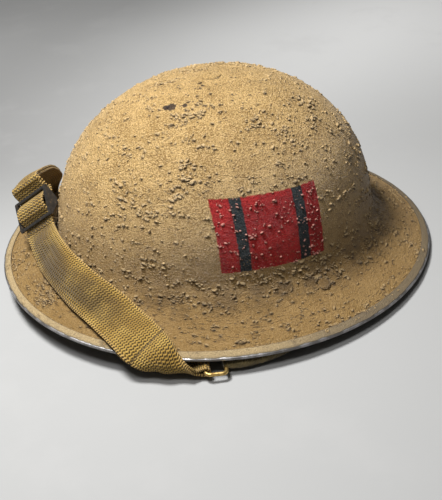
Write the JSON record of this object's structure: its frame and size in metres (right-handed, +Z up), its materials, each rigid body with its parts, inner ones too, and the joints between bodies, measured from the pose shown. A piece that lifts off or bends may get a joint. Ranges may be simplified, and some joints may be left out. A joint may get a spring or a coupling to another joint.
{
  "type": "brimmed steel helmet",
  "caption": "Shallow-brimmed steel helmet with rough painted shell, folded rim strip, webbed liner and sprung webbing chin strap lifted over the front brim.",
  "frame": {"origin": "centre of the bounding box on the surface the helmet rests on; the rear rim and the two strap sleeves touch that surface", "axes": "+Z up, -Y towards the front of the helmet, +X towards the wearer's left; the rim plane is tipped 2.5 degrees about X, front up"},
  "size_m": [0.293, 0.308, 0.1354],
  "materials": {
    "sand_paint": "rough sand-textured matt paint",
    "rim_steel": "worn bare dark steel edge",
    "lug_steel": "matt dark paint",
    "zinc_steel": "dull plated",
    "rubber_pad": "matt sponge rubber",
    "fibre_band": "pressed fibre, matt",
    "rubber_buffer": "matt",
    "brass_rivet": "dull",
    "oilcloth": "semi-matt oilcloth",
    "cord": "matt cord",
    "sleeve_cloth": "gathered cotton",
    "spring_steel": "dull",
    "brass_ring": "worn polished",
    "webbing": "woven cotton webbing",
    "black_japan": "black stove paint"
  },
  "bodies": {
    "helmet": {"shell": "sand_paint", "rim_strip": "rim_steel", "left_lug": "lug_steel", "right_lug": "lug_steel", "lug_rivets": "sand_paint", "crown_bolt": "sand_paint", "crown_washer": "zinc_steel", "crown_nut": "zinc_steel", "crown_pad": "rubber_pad", "long_band": "fibre_band", "cross_band": "fibre_band", "hoop": "fibre_band", "rubber_buffers": "rubber_buffer", "buffer_rivets": "brass_rivet", "sweat_band": "oilcloth", "skull_net": "oilcloth", "drawstring": "cord", "left_sleeve": "sleeve_cloth", "right_sleeve": "sleeve_cloth", "left_springs": "spring_steel", "right_springs": "spring_steel"},
    "strap": {"strap_webbing": "webbing"},
    "buckle": {"slide_buckle": "black_japan"},
    "left_bail": {"left_bail": "lug_steel"},
    "right_bail": {"right_bail": "lug_steel"},
    "left_ring": {"left_ring": "brass_ring"},
    "right_ring": {"right_ring": "brass_ring"}
  },
  "joints": [
    {"name": "left_bail_swing", "type": "hinge", "parent": "helmet", "child": "left_bail", "pos_m": [0.11245, 0.01561, 0.01059], "axis": [0.5581, 0.6677, -0.4927], "range_deg": [-4.5, 4.5], "deforming": ["left_sleeve", "left_springs"]},
    {"name": "right_bail_swing", "type": "hinge", "parent": "helmet", "child": "right_bail", "pos_m": [-0.11245, 0.01561, 0.01059], "axis": [-0.5581, 0.6677, -0.4927], "range_deg": [-4.5, 4.5], "deforming": ["right_sleeve", "right_springs"]},
    {"name": "strap_pull", "type": "slide", "parent": "helmet", "child": "strap", "axis": [0, -0.999, 0.0436], "range_m": [0, 0.02], "stiffness_N_per_m": 240, "deforming": ["left_sleeve", "right_sleeve", "left_springs", "right_springs"]},
    {"name": "left_ring_swing", "type": "hinge", "parent": "strap", "child": "left_ring", "pos_m": [0.1193, -0.0681, 0.00468], "axis": [-0.944, 0.3297, -0.0144], "range_deg": [-4.5, 4.5], "deforming": ["left_sleeve"]},
    {"name": "right_ring_swing", "type": "hinge", "parent": "strap", "child": "right_ring", "pos_m": [-0.1193, -0.0681, 0.00468], "axis": [0.944, 0.3297, -0.0144], "range_deg": [-4.5, 4.5], "deforming": ["right_sleeve"]},
    {"name": "buckle_slide", "type": "slide", "parent": "strap", "child": "buckle", "axis": [-0.7624, 0.1345, 0.633], "range_m": [-0.002, 0.006], "deforming": ["strap_webbing"]}
  ]
}
